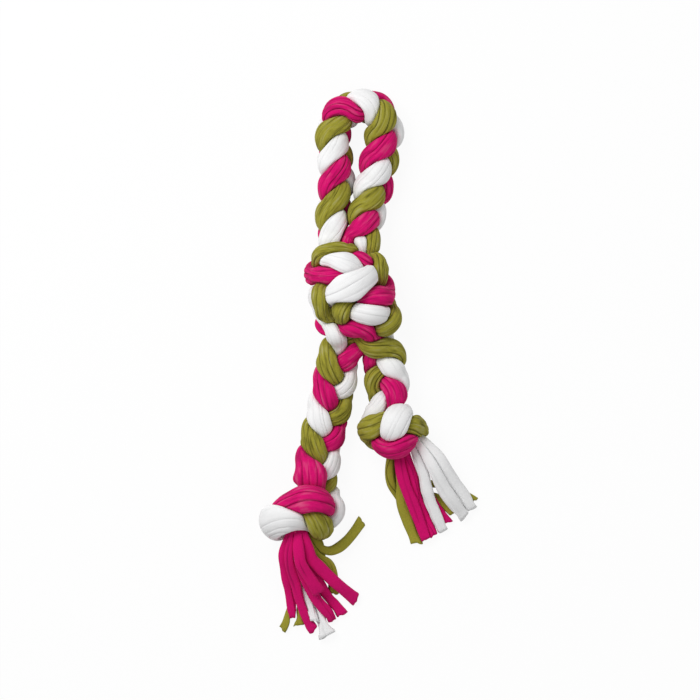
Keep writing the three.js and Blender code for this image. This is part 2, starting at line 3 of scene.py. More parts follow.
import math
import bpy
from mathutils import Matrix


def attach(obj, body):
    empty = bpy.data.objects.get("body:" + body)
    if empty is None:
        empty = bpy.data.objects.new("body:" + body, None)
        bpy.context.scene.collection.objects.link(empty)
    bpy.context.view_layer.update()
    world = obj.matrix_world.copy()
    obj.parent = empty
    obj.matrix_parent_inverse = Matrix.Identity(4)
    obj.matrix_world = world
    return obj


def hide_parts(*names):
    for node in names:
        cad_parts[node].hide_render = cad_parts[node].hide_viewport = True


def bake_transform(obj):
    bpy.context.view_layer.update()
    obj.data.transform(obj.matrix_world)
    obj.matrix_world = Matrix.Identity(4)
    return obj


bl_info = {
    "name": "Plaited rope dog toy",
    "version": (1, 0, 0),
    "blender": (4, 5, 0),
    "location": "3D View > Sidebar > Rope toy",
    "description": "Lays the strands and the loose strips of a plaited cloth rope toy round its packed frame",
    "category": "Object",
}

import bpy
import numpy as np
from bpy.props import FloatProperty, FloatVectorProperty, IntProperty, PointerProperty

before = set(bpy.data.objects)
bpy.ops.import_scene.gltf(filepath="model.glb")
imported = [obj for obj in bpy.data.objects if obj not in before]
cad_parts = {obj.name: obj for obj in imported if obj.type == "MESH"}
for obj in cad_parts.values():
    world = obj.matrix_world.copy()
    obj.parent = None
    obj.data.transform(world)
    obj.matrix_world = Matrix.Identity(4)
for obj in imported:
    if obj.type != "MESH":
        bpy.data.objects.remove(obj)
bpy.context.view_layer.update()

# The rope is laid out in millimetres, and its meshes are made in metres.
MM = 0.001
TINY = 1e-9
TURN = 2 * math.pi
COLOURS = ("green", "pink", "white")
UP = np.array((0.0, 0.0, 1.0))

# How finely the middle lines are divided, and how far their bends are smoothed.
CURVE_SAMPLES = 24
POINT_STEP = 4.0
PLAIT_POINT_EVERY = 3
FINE_PER_POINT = 3
BEND_SMOOTHING = 4

# How the lines settle: how long, how hard they push, what holds them, and how near they pack and lie.
SETTLE_ROUNDS = 100
SETTLE_REFRESH = 10
SETTLE_REACH = 5.0
SETTLE_PUSH = 0.65
SETTLE_SMOOTHING = 0.2
SETTLE_ANCHOR = 0.04
HELD_POINTS = 2
PACKING_RANGE = (0.55, 1.1)
REST_HEIGHT = 0.78
NEIGHBOUR_RATIO = 1.6
END_CLEARANCE = 0.3

# How far the cloth may stand out: how far it looks, when its own line counts, and its room inside a bend.
SEARCH_RATIO = 2.1
SELF_SPAN = 14.0
SELF_RATIO = 1.45
BEND_SHARE = 0.8
LEAST_REACH = 0.8

# Where the rope bends between two bodies, as levels of y, and how far past a stretch the roots are cut.
NECKS = {"hand_loop": (56.0, 94.0), "left_leg": (-46.0, -86.0), "right_leg": (-44.0, -78.0)}
ROOT_CUT = 8.0

# One turn of the plait, in millimetres, where a route gives no phase.
PLAIT_TURN = 72.0

# Plaited stretches: the rope's middle, the tilt of its width above the floor and the green strand's phase.
RIGHT_LEG = (
    ((32.5, -86.5, 20), -25, 48),
    ((30.5, -66.5, 17), -25, None),
    ((28.5, -50.5, 19), -25, 246),
)

LOOP = (
    ((-17, 61, 22), 78, None),
    ((-16, 83.5, 19), 77, 90),
    ((-14, 110, 18), 77, 198),
    ((-15.5, 133, 18), 77, 338),
    ((-16, 153, 18), 79, 443),
    ((-9.5, 167.5, 18), 84, None),
    ((7, 175, 18), 92, None),
    ((23.5, 170.5, 18), 104, None),
    ((29, 157.5, 18), 112, 808),
    ((26, 135, 18), 114, None),
    ((22, 112.5, 18), 114, None),
    ((16, 90, 19), 112, 1132),
    ((10.5, 65, 24), 105, None),
)

LEFT_LEG = (
    ((-12.5, -51.5, 20), -25, -98),
    ((-16, -75.5, 16), -25, None),
    ((-20.5, -99, 15), -25, None),
    ((-27, -123.5, 16), -25, 258),
    ((-30.5, -138, 18), -25, None),
)

CENTRE_KNOT_TO_RIGHT_LEG = {
    "green": (
        (-1, 51, 24, 0.7), (1.5, 42, 37, 0.55), (-5.5, 45.5, 48, 0.6), (-16.5, 47, 52, 0.65),
        (-26.5, 43, 46, 0.65), (-31.5, 34, 34, 0.7), (-28.5, 24, 18, 0.8), (-24, 15.5, 32, 0.8),
        (-27.5, 7, 45, 0.85), (-29, -2.5, 48, 0.85), (-26, -12.5, 43, 0.8), (-17, -20, 27, 0.6),
        (-6, -18, 38, 0.6), (-11.5, -10, 56, 0.95), (-5, -2, 53, 0.7), (1, -9, 36, 0.5), (2, -22, 24, 0.65),
        (12, -33.5, 27, 0.85), (22.5, -39.5, 35),
    ),
    "pink": (
        (-7, 45, 30), (-11.5, 35, 22), (-22, 30, 6), (-30, 24.5, 22), (-27.5, 21.5, 43, 1.2),
        (-17, 22.5, 52, 1.1), (-5.5, 25.5, 48, 0.8), (4, 18, 24, 0.9), (2, 7, 5), (-3, -3, 4),
        (-15, -11, 4), (-25, -18.5, 10), (-21.5, -23.5, 20), (-11, -23, 31, 0.8), (1.5, -24, 47, 1.1),
        (12.5, -26, 47), (19.5, -32.5, 30, 0.9), (22, -41, 20),
    ),
    "white": (
        (-20, 45, 32), (-26, 36.5, 42, 0.8), (-16, 35.5, 54), (-6.5, 33.5, 57, 1.05), (3.5, 30, 53, 0.85),
        (11.5, 24, 34, 0.8), (17, 15, 6), (14, 3, 12), (-2, -6, 38, 0.7), (7, -11, 54, 1.05),
        (18.5, -13.5, 57, 1.15), (27, -13, 47, 1.05), (28.5, -21, 28, 0.9), (28.5, -36, 14, 0.9),
    ),
}

CENTRE_KNOT_TO_LEFT_LEG = {
    "green": (
        (17.5, 46, 37, 0.85), (15, 38, 34, 0.5), (20, 33, 43, 0.7), (25, 26, 45, 0.85), (25, 17.5, 32, 0.7),
        (24.5, 8.5, 13, 0.75), (28.5, -0.5, 8), (32.5, -6, 20, 0.9), (36.5, -13, 36, 0.8),
        (36, -20, 45, 0.85), (28.5, -25.5, 44, 0.85), (19.5, -29.5, 34, 0.7), (10, -33.5, 24, 0.7),
        (2, -35.5, 24, 0.8), (-10, -38, 14, 0.8), (-20.5, -42, 17, 0.95),
    ),
    "pink": (
        (-3, 50, 26, 0.8), (-0.5, 43.5, 36, 0.7), (5.5, 37.5, 48, 0.8), (12, 31.5, 47, 0.8),
        (18.5, 24, 26, 0.8), (24.5, 13, 15, 0.9), (29, 5.5, 29, 0.9), (28, 2.5, 46, 1.2),
        (19.5, 2, 54, 1.2), (11.5, -2, 53), (3.5, -6, 38, 0.7), (-2, -14, 22, 0.8), (3, -28, 15, 0.8),
        (7, -36, 20, 0.8), (6, -42, 28, 0.9),
    ),
    "white": (
        (10, 56, 30, 0.8), (3.5, 49, 39.5, 0.95), (8.5, 42, 32, 0.6), (12, 35, 28, 0.6),
        (13.5, 28.5, 36, 0.8), (10.5, 18.5, 55, 1.6), (-0.5, 12, 60, 1.8), (-11.5, 5.5, 57, 1.5),
        (-18.5, 2, 44, 1.1), (-25, 6, 29, 0.8), (-31.5, 9, 20, 0.9), (-33, 0.5, 14, 0.9),
        (-28, -9, 14, 0.8), (-22, -16.5, 20, 0.75), (-17, -23.5, 33, 0.75), (-14.5, -31, 40, 0.9),
        (-11.5, -38.5, 25, 0.75),
    ),
}

RIGHT_END_KNOT = {
    "green": (
        (31.5, -100.5, 24, 0.6), (36.5, -113.5, 20, 0.6), (33, -123.5, 12, 0.7), (22.5, -124, 10),
        (16, -119.5, 23, 1.1), (21, -114.5, 40, 1.25), (30, -112, 43, 1.1), (38.5, -110.5, 36, 0.8),
        (46, -110, 44, 1.15), (53, -112.5, 39, 1.2), (55.5, -119, 21), (47.5, -115.5, 7, 0.8),
        (40.5, -120.5, 14, 0.6), (40, -133, 20, 0.6),
    ),
    "pink": (
        (38, -98.5, 28, 0.9), (40, -111, 22, 0.6), (30.5, -118, 20, 0.8), (27.5, -122, 29),
        (33.5, -127, 40, 1.25), (42, -129, 45, 1.3), (49.5, -126, 40, 1.15), (53, -122, 25, 0.8),
        (49, -113.5, 12, 0.7), (43, -112.5, 22, 0.6), (45, -127.5, 24, 0.6),
    ),
    "white": (
        (26.5, -97.5, 24, 0.9), (17.5, -103, 27, 0.95), (17, -112, 11, 0.8), (26.5, -120.5, 9, 0.7),
        (30, -123, 29, 0.7), (34, -117.5, 48, 1.15), (40, -109.5, 49, 1.15), (46, -103.5, 38, 0.9),
        (46.5, -103, 18, 0.8), (42, -111, 6, 0.8), (51, -120, 14, 0.6), (57.5, -126, 26, 0.95),
    ),
}

LEFT_END_KNOT = {
    "green": (
        (-26, -148, 13, 0.75), (-25.5, -157.5, 9, 0.7), (-21.5, -167.5, 17, 0.7), (-28, -177.5, 9, 0.8),
        (-38, -183.5, 8, 0.8), (-47.5, -188, 12, 0.7), (-45, -188, 32, 0.8), (-38.5, -192.5, 44, 1.25),
        (-31, -199.5, 41, 1.25), (-27, -205, 24), (-34, -207, 10, 0.8), (-41, -199, 18, 0.6),
    ),
    "pink": (
        (-41, -146, 26, 1.1), (-38, -155.5, 34, 1.55), (-36, -165.5, 34, 1.55), (-34, -175, 24),
        (-40, -188.5, 20, 0.6), (-52, -203, 7, 0.7), (-64, -198, 11), (-64, -189, 30),
        (-55, -183.5, 42, 1.2), (-41, -179.5, 47, 1.4), (-28, -182, 44, 1.3), (-22, -187, 28),
        (-26, -192, 12, 0.8), (-36.5, -195.5, 18, 0.6), (-42, -199, 28, 0.65), (-47.5, -204, 35, 0.8),
    ),
    "white": (
        (-20.5, -147.5, 21, 0.9), (-21, -156, 18, 0.85), (-26, -166, 9, 0.8), (-19.5, -180, 18, 0.9),
        (-18, -189, 25), (-21.5, -196, 22), (-30.5, -201.5, 10), (-40, -200.5, 28, 0.8),
        (-47, -196.5, 41, 1.25), (-59, -193.5, 46, 1.5), (-69.5, -199, 38, 1.4), (-72.5, -207.5, 22),
        (-65, -211, 7, 0.8), (-54.5, -203, 8, 0.6), (-48.5, -202.5, 14, 0.6),
    ),
}

RIGHT_TASSEL_ROOT = {
    "green": ((38.5, -144, 17, 0.9), (39.5, -156, 12, 0.9)),
    "pink": ((46, -144, 23, 0.9), (50, -157, 19)),
    "white": ((64, -134, 28), (72, -148, 25, 1.15)),
}

LEFT_TASSEL_ROOT = {
    "green": ((-40, -212, 17, 0.8), (-33.5, -224, 14, 0.8)),
    "pink": ((-50.5, -212, 37.5, 1.1), (-49.5, -229, 31, 1.45)),
    "white": ((-53, -215, 9, 0.8), (-50, -229, 8, 0.9)),
}

LEFT_STRIPS = (
    ("pink_1", 5.2, (-12, -3), ((-59.5, -247, 19), (-55.5, -268, 9), (-53.5, -287, 2.5))),
    ("pink_2", 5.4, (-6.5, 3), ((-53, -248, 23), (-45.5, -274, 11), (-34.5, -298.5, 2.5))),
    ("pink_3", 5.8, (0.5, 4), ((-44, -247, 25), (-32.5, -271, 14), (-20.5, -290, 2.5))),
    ("pink_4", 5.5, (2, 10), ((-42.5, -243, 34), (-36.5, -253.5, 30), (-30, -264, 23))),
    ("pink_5", 6, (11, 2), ((-30.5, -239.5, 27), (-19, -252, 20), (-7, -262.5, 12), (3, -271.5, 2.5))),
    ("pink_6", 5.4, (6.5, -4), ((-34.5, -250, 16), (-20.5, -270, 5), (-9, -285.5, 2.5))),
    ("white_1", 8.6, (4.5, 0), ((-40.5, -259, 7), (-30, -285, 2.5), (-23, -304.5, 2.5))),
    ("white_2", 5.4, (-4.5, 0), ((-47, -255, 11), (-38.5, -273, 6), (-31, -290, 5))),
    ("green_1", 5, (-2, 3), ((-20, -236, 13), (-16, -249, 9), (-17, -265.5, 2.5))),
    ("green_2", 5, (2.5, 1), ((-18.5, -229, 11), (-9, -223.5, 9), (0, -214, 7), (9, -200.5, 2.5))),
    ("green_3", 4, (-4, -3), ((-44, -246, 2.5), (-53, -275, 2.5), (-55, -290, 2.5), (-63, -299, 2.5))),
    ("green_4", 6.4, (3, -3), ((-38, -252, 2.5), (-47.5, -277, 2.5), (-49, -295, 2.5))),
)

RIGHT_STRIPS = (
    ("green_1", 5.6, (-4.5, 2), ((41, -171, 5), (50, -189, 3))),
    ("green_2", 6, (3.5, 2.5), ((44.5, -177.5, 8), (51, -199, 4), (59.5, -220.5, 2.5))),
    ("green_3", 5.8, (-3, -2.5), ((60, -176, 2.5), (78, -182, 2.5), (92, -193, 2.5))),
    ("green_4", 4, (4, -2.5), ((60, -168, 2.5), (84.5, -166, 2.5), (110.5, -182.5, 2.5))),
    ("pink_1", 6.2, (-4.5, 4), ((52.5, -176, 16), (58.5, -192.5, 11), (67, -216.5, 5))),
    ("pink_2", 6, (4, 1), ((58.5, -176, 11), (65, -192.5, 6), (74, -213.5, 2.5))),
    ("pink_3", 5.4, (3, -4), ((72, -181, 7), (87, -201.5, 2.5))),
    ("white_1", 5.8, (-10.5, 0), ((65.5, -168, 20), (73, -187, 13), (82.5, -208.5, 4))),
    ("white_2", 7.2, (-0.5, 4), ((83, -170.5, 20), (102, -195, 4))),
    ("white_3", 6.8, (7.5, 0), ((90, -163, 16), (99.5, -174, 10), (109, -188.5, 3))),
)


class RopeSizes(bpy.types.PropertyGroup):
    """Sizes of the strands, the plait and the loose strips."""

    strand_radius: FloatProperty(
        name="Strand radius", description="Free radius of one strand", default=0.0096, unit="LENGTH"
    )
    strand_packing: FloatProperty(
        name="Strand packing", description="Radius of a strand that is pressed", default=0.0056, unit="LENGTH"
    )
    plait_half_width: FloatProperty(
        name="Plait half width", description="Swing of a strand in width", default=0.0089, unit="LENGTH"
    )
    plait_half_depth: FloatProperty(
        name="Plait half depth", description="Swing of a strand in depth", default=0.0051, unit="LENGTH"
    )
    strand_gap: FloatProperty(
        name="Strand gap", description="Gap between strands that touch", default=0.0003, unit="LENGTH"
    )
    strip_flatness: FloatProperty(
        name="Strip flatness", description="Thickness of a strip to its width", default=0.62, subtype="FACTOR"
    )
    cloth_thickness: FloatProperty(
        name="Cloth thickness", description="Thickness of the jersey", default=0.0009, unit="LENGTH"
    )
    rolls: IntProperty(name="Rolls", description="Rolled strips that show in one strand", default=11)
    fold_depth: FloatProperty(
        name="Fold depth", description="Depth of the folds between two rolls", default=0.16, subtype="FACTOR"
    )


class ClothLooks(bpy.types.PropertyGroup):
    """Colours and finish of the jersey."""

    green: FloatVectorProperty(
        name="Green", description="Olive green jersey", default=(0.325, 0.3, 0.036), subtype="COLOR"
    )
    pink: FloatVectorProperty(
        name="Pink", description="Deep pink jersey", default=(0.65, 0.005, 0.148), subtype="COLOR"
    )
    white: FloatVectorProperty(
        name="White", description="White jersey", default=(0.9, 0.9, 0.905), subtype="COLOR"
    )
    wale: FloatProperty(
        name="Wale", description="Width of one column of knit stitches", default=0.0011, unit="LENGTH"
    )


class StageLooks(bpy.types.PropertyGroup):
    """The floor, the light and the camera."""

    floor: FloatVectorProperty(
        name="Floor", description="Colour of the floor", default=(0.95, 0.95, 0.95), subtype="COLOR"
    )
    key_power: FloatProperty(
        name="Key power", description="Power of the key lamp", default=22.0, unit="POWER"
    )
    fill_power: FloatProperty(
        name="Fill power", description="Power of the fill lamp", default=3.0, unit="POWER"
    )
    sky: FloatProperty(name="Sky", description="Strength of the even light from all round", default=0.36)
    camera_height: FloatProperty(
        name="Camera height", description="Height of the camera above the floor", default=3.0, unit="LENGTH"
    )
    view_width: FloatProperty(
        name="View width", description="Width of the picture on the rope", default=0.63, unit="LENGTH"
    )


class Line:
    """The middle line of one strand or strip, with its girth, in millimetres."""

    def __init__(self, name, colour, points, length, radius, packing, flatness=1.0, held=0):
        self.name = name
        self.colour = colour
        self.points = points
        self.length = length
        self.radius = radius
        self.packing = packing
        self.flatness = flatness
        self.held = held
        self.ends = {}
        self.skin = None

    def refine(self):
        """Divide the settled line finely, with its direction and its bend at each point."""
        self.middle = spline(self.points, FINE_PER_POINT)
        self.direction = tangents(self.middle)
        count = len(self.points)
        step = self.length / (count - 1)
        self.distance = np.arange(len(self.middle)) * step / FINE_PER_POINT
        self.girth = np.interp(self.distance, np.arange(count) * step, self.radius)
        bend = np.gradient(self.direction, axis=0) / (step / FINE_PER_POINT)
        self.bend = smoothed(bend, BEND_SMOOTHING)

    def index(self, distance):
        """The fine point nearest to a distance along the line."""
        return int(round(float(np.clip(distance / self.distance[1], 0, len(self.middle) - 1))))

    def crossing(self, level, start):
        """The first fine point, from a distance on, where the line crosses a level of y."""
        side = self.middle[self.index(start):, 1] - level
        change = np.nonzero(side[:-1] * side[1:] <= 0)[0]
        if not len(change):
            raise RuntimeError(f"{self.name} never crosses y = {level}")
        return self.index(start) + int(change[0])


def unit(vectors):
    """Vectors of length one."""
    return vectors / np.linalg.norm(vectors, axis=-1, keepdims=True)


def smoothed(values, rounds):
    """Values along a line, evened out with their neighbours."""
    for _ in range(rounds):
        padded = np.concatenate((values[:1], values, values[-1:]))
        values = 0.25 * padded[:-2] + 0.5 * values + 0.25 * padded[2:]
    return values


def spline(points, samples):
    """A centripetal curve through the points, with the same number of samples in every span."""
    p = np.asarray(points, float)
    p = np.vstack((2 * p[0] - p[1], p, 2 * p[-1] - p[-2]))
    p0, p1, p2, p3 = p[:-3], p[1:-2], p[2:-1], p[3:]
    d = np.sqrt(np.linalg.norm(np.diff(p, axis=0), axis=1))[:, None]
    d0, d1, d2 = d[:-2], d[1:-1], d[2:]
    leave = ((p1 - p0) / d0 - (p2 - p0) / (d0 + d1) + (p2 - p1) / d1) * d1
    reach = ((p2 - p1) / d1 - (p3 - p1) / (d1 + d2) + (p3 - p2) / d2) * d1
    square = 3 * (p2 - p1) - 2 * leave - reach
    cube = 2 * (p1 - p2) + leave + reach
    t = (np.arange(samples) / samples)[None, :, None]
    curve = p1[:, None] + leave[:, None] * t + square[:, None] * t**2 + cube[:, None] * t**3
    return np.vstack((curve.reshape(-1, 3), p[-2]))


def run_lengths(points):
    """The distance along a line of each of its points."""
    return np.append(0.0, np.cumsum(np.linalg.norm(np.diff(points, axis=0), axis=1)))


def even_line(points, step):
    """A smooth line in even steps, the distance along it of each given point, and its length."""
    fine = spline(points, CURVE_SAMPLES)
    lengths = run_lengths(fine)
    count = max(2, int(lengths[-1] / step + 0.5))
    targets = np.linspace(0, lengths[-1], count + 1)
    even = np.stack([np.interp(targets, lengths, fine[:, k]) for k in range(3)], axis=1)
    return even, lengths[::CURVE_SAMPLES], lengths[-1]


def tangents(points):
    """The direction of a line at each of its points."""
    padded = np.vstack((points[:1], points, points[-1:]))
    return unit(padded[2:] - padded[:-2])


def carried_sides(directions):
    """A direction square to the line at every point, carried along it without twisting."""
    side = np.cross(UP, directions[0])
    sides = []
    for direction in directions:
        side = unit(side - direction * side.dot(direction))
        sides.append(side)
    return np.array(sides)


def plait(route, sizes):
    """Points of the three strands along a plaited stretch."""
    rope, stations, length = even_line([stop[0] for stop in route], POINT_STEP)
    direction = tangents(rope)
    distance = np.linspace(0, length, len(rope))
    given = [(station, stop[2]) for station, stop in zip(stations, route) if stop[2] is not None]
    first, last = given[0], given[-1]
    before = (0.0, first[1] - 360 * first[0] / PLAIT_TURN)
    after = (length, last[1] + 360 * (length - last[0]) / PLAIT_TURN)
    phase = np.radians(np.interp(distance, *zip(before, *given, after)))
    tilt = np.radians(np.interp(distance, stations, [stop[1] for stop in route]))[:, None]
    level = unit(np.cross(UP, direction))
    upright = np.cross(direction, level)
    wide = np.cos(tilt) * level + np.sin(tilt) * upright
    deep = np.cross(direction, wide)
    kept = [i for i in range(len(rope)) if i % PLAIT_POINT_EVERY == 0 or i == len(rope) - 1]
    strands = []
    for k in range(len(COLOURS)):
        turn = (phase - TURN * k / len(COLOURS))[:, None]
        across = sizes.plait_half_width / MM * np.sin(turn) * wide
        through = sizes.plait_half_depth / MM * np.sin(2 * turn) * deep
        strands.append((rope + across - through)[kept])
    return strands


def strand_line(colour, right, loop, left, sizes):
    """One strand from the right tassel through the whole rope to the left tassel."""
    stretches = {
        "right_root": RIGHT_TASSEL_ROOT[colour][::-1],
        "right_knot": RIGHT_END_KNOT[colour][::-1],
        "right_leg": right,
        "knot_right": CENTRE_KNOT_TO_RIGHT_LEG[colour][::-1],
        "loop": loop,
        "knot_left": CENTRE_KNOT_TO_LEFT_LEG[colour],
        "left_leg": left,
        "left_knot": LEFT_END_KNOT[colour],
        "left_root": LEFT_TASSEL_ROOT[colour],
    }
    table = np.array([(*point, 1.0)[:4] for stretch in stretches.values() for point in stretch], float)
    points, stations, length = even_line(table[:, :3], POINT_STEP)
    girth = np.interp(np.linspace(0, length, len(points)), stations, table[:, 3])
    radius = sizes.strand_radius / MM * girth
    packing = sizes.strand_packing / MM * np.clip(girth, *PACKING_RANGE)
    line = Line(f"strand_{colour}", colour, points, length, radius, packing)
    last = -1
    for name, stretch in stretches.items():
        last += len(stretch)
        line.ends[name] = stations[last]
    return line


def strip_line(side, strip, strands, sizes):
    """One loose strip, from the end of its bundle to its cut end."""
    label, half, offset, stops = strip
    colour = label.split("_")[0]
    bundle = strands[COLOURS.index(colour)]
    points = bundle.points if side == "left" else bundle.points[::-1]
    direction = unit(points[-1] - points[-2])
    across = unit(np.cross(UP, direction))
    sideways = across * offset[0] + np.cross(direction, across) * offset[1]
    start = points[-1] + direction * END_CLEARANCE + sideways
    route = [start, start + direction * POINT_STEP, *[np.array(stop, float) for stop in stops]]
    even, _, length = even_line(route, POINT_STEP)
    name = f"{side}_strip_{label}"
    flatness = sizes.strip_flatness
    radius = np.full(len(even), half)
    line = Line(name, colour, even, length, radius, radius * flatness, flatness, HELD_POINTS)
    line.sideways = sideways
    return line


def settle(lines, fixed=()):
    """Push the lines apart until they lie beside one another and on the floor."""
    everything = [*lines, *fixed]
    owner = np.repeat(np.arange(len(everything)), [len(line.points) for line in everything])
    order = np.concatenate([np.arange(len(line.points)) for line in everything])
    place = np.vstack([line.points for line in everything])
    pack = np.concatenate([line.packing for line in everything])
    rest = np.concatenate([REST_HEIGHT * line.radius * line.flatness for line in everything])
    held = (owner >= len(lines)) | (order < np.array([line.held for line in everything])[owner])
    start = place.copy()
    inner = np.nonzero(~held & (order > 0) & np.append(owner[1:] == owner[:-1], False))[0]
    free = np.nonzero(~held)[0]
    for turn in range(SETTLE_ROUNDS):
        if turn % SETTLE_REFRESH == 0:
            squared = (place**2).sum(1)
            squared = squared[:, None] + squared[None, :] - 2 * place @ place.T
            a, b = np.nonzero(np.triu(squared < (pack[:, None] + pack[None, :] + SETTLE_REACH) ** 2, 1))
            apart = pack[a] + pack[b]
            near = np.abs(order[a] - order[b]) * POINT_STEP < NEIGHBOUR_RATIO * apart
            kept = ~(near & (owner[a] == owner[b])) & ~(held[a] & held[b])
            a, b, apart = a[kept], b[kept], apart[kept]
        gap = place[a] - place[b]
        distance = np.linalg.norm(gap, axis=1) + TINY
        short = np.maximum(0.0, apart - distance)
        push = gap * (short / distance)[:, None]
        moves = np.zeros_like(place)
        np.add.at(moves, a, push)
        np.add.at(moves, b, -push)
        hits = np.zeros(len(place))
        np.add.at(hits, a, short > 0)
        np.add.at(hits, b, short > 0)
        place[free] += (moves * (SETTLE_PUSH / np.maximum(1, hits))[:, None])[free]
        between = 0.5 * (place[inner - 1] + place[inner + 1])
        place[inner] += SETTLE_SMOOTHING * (between - place[inner])
        place[free] += SETTLE_ANCHOR * (start[free] - place[free])
        place[free, 2] = np.maximum(place[free, 2], rest[free])
    for k, line in enumerate(lines):
        line.points = place[owner == k]


def crowd(runs):
    """The points of several lines, which line each belongs to, and its distance along it."""
    points = np.vstack([middle for middle, _ in runs])
    owners = np.concatenate([np.full(len(middle), k) for k, (middle, _) in enumerate(runs)])
    return points, owners, np.concatenate([distance for _, distance in runs])


class Rope:
    """All the settled lines of the toy, and the crowds of their points."""

    def __init__(self, sizes):
        self.gap = sizes.strand_gap / MM
        plaits = [plait(route, sizes) for route in (RIGHT_LEG, LOOP, LEFT_LEG)]
        self.strands = [strand_line(colour, *runs, sizes) for colour, *runs in zip(COLOURS, *plaits)]
        settle(self.strands)
        self.strips = [strip_line("left", strip, self.strands, sizes) for strip in LEFT_STRIPS]
        self.strips += [strip_line("right", strip, self.strands, sizes) for strip in RIGHT_STRIPS]
        settle(self.strips, self.strands)
        self.lines = [*self.strands, *self.strips]
        for line in self.lines:
            line.refine()
        self.routes = {strip.name: strip_route(self, strip) for strip in self.strips}
        self.crowd = crowd([(line.middle, line.distance) for line in self.lines])
        plaited = []
        for strand in self.strands:
            cuts = strand_cuts(strand)
            run = slice(cuts["right_root"], cuts["left_root"] + 1)
            plaited.append((strand.middle[run], strand.distance[run]))
        self.strip_crowd = crowd([*plaited, *self.routes.values()])

    def room(self, owners, middle, distance, outward, reach, crowded):
        """How far the cloth can stand out before it meets half way with what lies beside it."""
        points, point_owners, distances = crowded
        own = np.isin(point_owners, owners)
        room = np.full(outward.shape[:2], np.inf)
        for i in range(len(middle)):
            gap = points - middle[i]
            squared = (gap**2).sum(1)
            along = np.abs(distances - distance[i])
            kept = squared < (SEARCH_RATIO * reach[i]) ** 2
            kept &= ~own | ((along >= SELF_SPAN) & (along >= SELF_RATIO * np.sqrt(squared)))
            if kept.any():
                facing = outward[i] @ gap[kept].T
                half_way = np.where(facing > TINY, squared[kept] / (2 * np.maximum(facing, TINY)), np.inf)
                room[i] = half_way.min(axis=1) - self.gap / 2
        return np.maximum(room, LEAST_REACH)


LAID = {}


def laid_rope(scene):
    """The rope, laid once for all the operators."""
    if "rope" not in LAID:
        LAID["rope"] = Rope(scene.rope_sizes)
    return LAID["rope"]


def drift(rng, count, spacing, amount=1.0):
    """Smooth noise along a line, up to an amount either way, with a new value every so many points."""
    values = rng.uniform(-1, 1, int(count / spacing) + 3)
    place = np.arange(count) / spacing
    low = place.astype(int)
    share = place - low
    share = share * share * (3 - 2 * share)
    return amount * (values[low] * (1 - share) + values[low + 1] * share)


def around(angles, side, other):
    """Directions round a line at angles between two directions that are square to it."""
    return np.cos(angles)[:, :, None] * side[:, None] + np.sin(angles)[:, :, None] * other[:, None]


# How squarely a strand or strip fills its room, and how far its skin is smoothed along it.
ROUNDNESS = 9.0
SKIN_SMOOTHING = 3


def pressed(radius, room):
    """The reach of the cloth: its own radius, or less where its neighbours leave it less room."""
    return smoothed((radius**-ROUNDNESS + room**-ROUNDNESS) ** (-1 / ROUNDNESS), SKIN_SMOOTHING)


def floor_reach(middle, outward, floor):
    """How far each direction round a line may reach before it meets the floor."""
    down = outward[:, :, 2]
    return np.where(down < 0, (floor - middle[:, 2:]) / np.minimum(down, -TINY), np.inf)


# How a strand spreads: from which share of its radius it lies open, and how wide and high it is then.
OPEN_FROM = 0.55
OPEN_RANGE = 0.5
OPEN_FULL = 0.32
OPEN_SMOOTHING = 6
SPREAD = 0.34
SWELL = (0.84, 0.2)


def spread_radius(outward, room, radius):
    """How far each direction may reach: wide where the strand lies open, pinched where it dives under."""
    free = np.clip((room / radius - OPEN_FROM) / OPEN_RANGE, 0, 1)[:, :, None]
    facing = smoothed((free * outward).mean(axis=1), OPEN_SMOOTHING)
    strength = np.linalg.norm(facing, axis=1)
    facing = facing / np.maximum(strength, TINY)[:, None]
    open_share = np.clip(strength / OPEN_FULL, 0, 1)
    high = radius[:, 0] * (SWELL[0] + SWELL[1] * open_share)
    wide = radius[:, 0] * (1 + SPREAD * open_share)
    along = np.einsum("ijk,ik->ij", outward, facing) ** 2
    return 1 / np.sqrt(along / high[:, None] ** 2 + (1 - along) / wide[:, None] ** 2)


# A strand's folds: the points across one roll, closest at the fold, how deep and sharp a fold is, and how
# narrow its painted shade is.
# Each sway is a number of fine points and an amount, for a drift along the strand.
STRAND_SEED = 40
ROLL_PART = np.array((0, 0.035, 0.1, 0.2, 0.35, 0.5, 0.65, 0.8, 0.9, 0.965))
FOLD_TWIST = 0.012
TWIST_SWAY = (90, 1.2)
FOLD_SWAY = (20, 0.2)
FOLD_SHARE = {"green": 1.0, "pink": 0.9, "white": 0.35}
DEPTH_MEAN = 0.6
DEPTH_SWAY = (20, 0.7)
DEPTH_LEAST = 0.1
PILLOW_SHARE = 0.5
PILLOW_POWER = 2
FOLD_POWER = 7
CREASE_POWER = 8


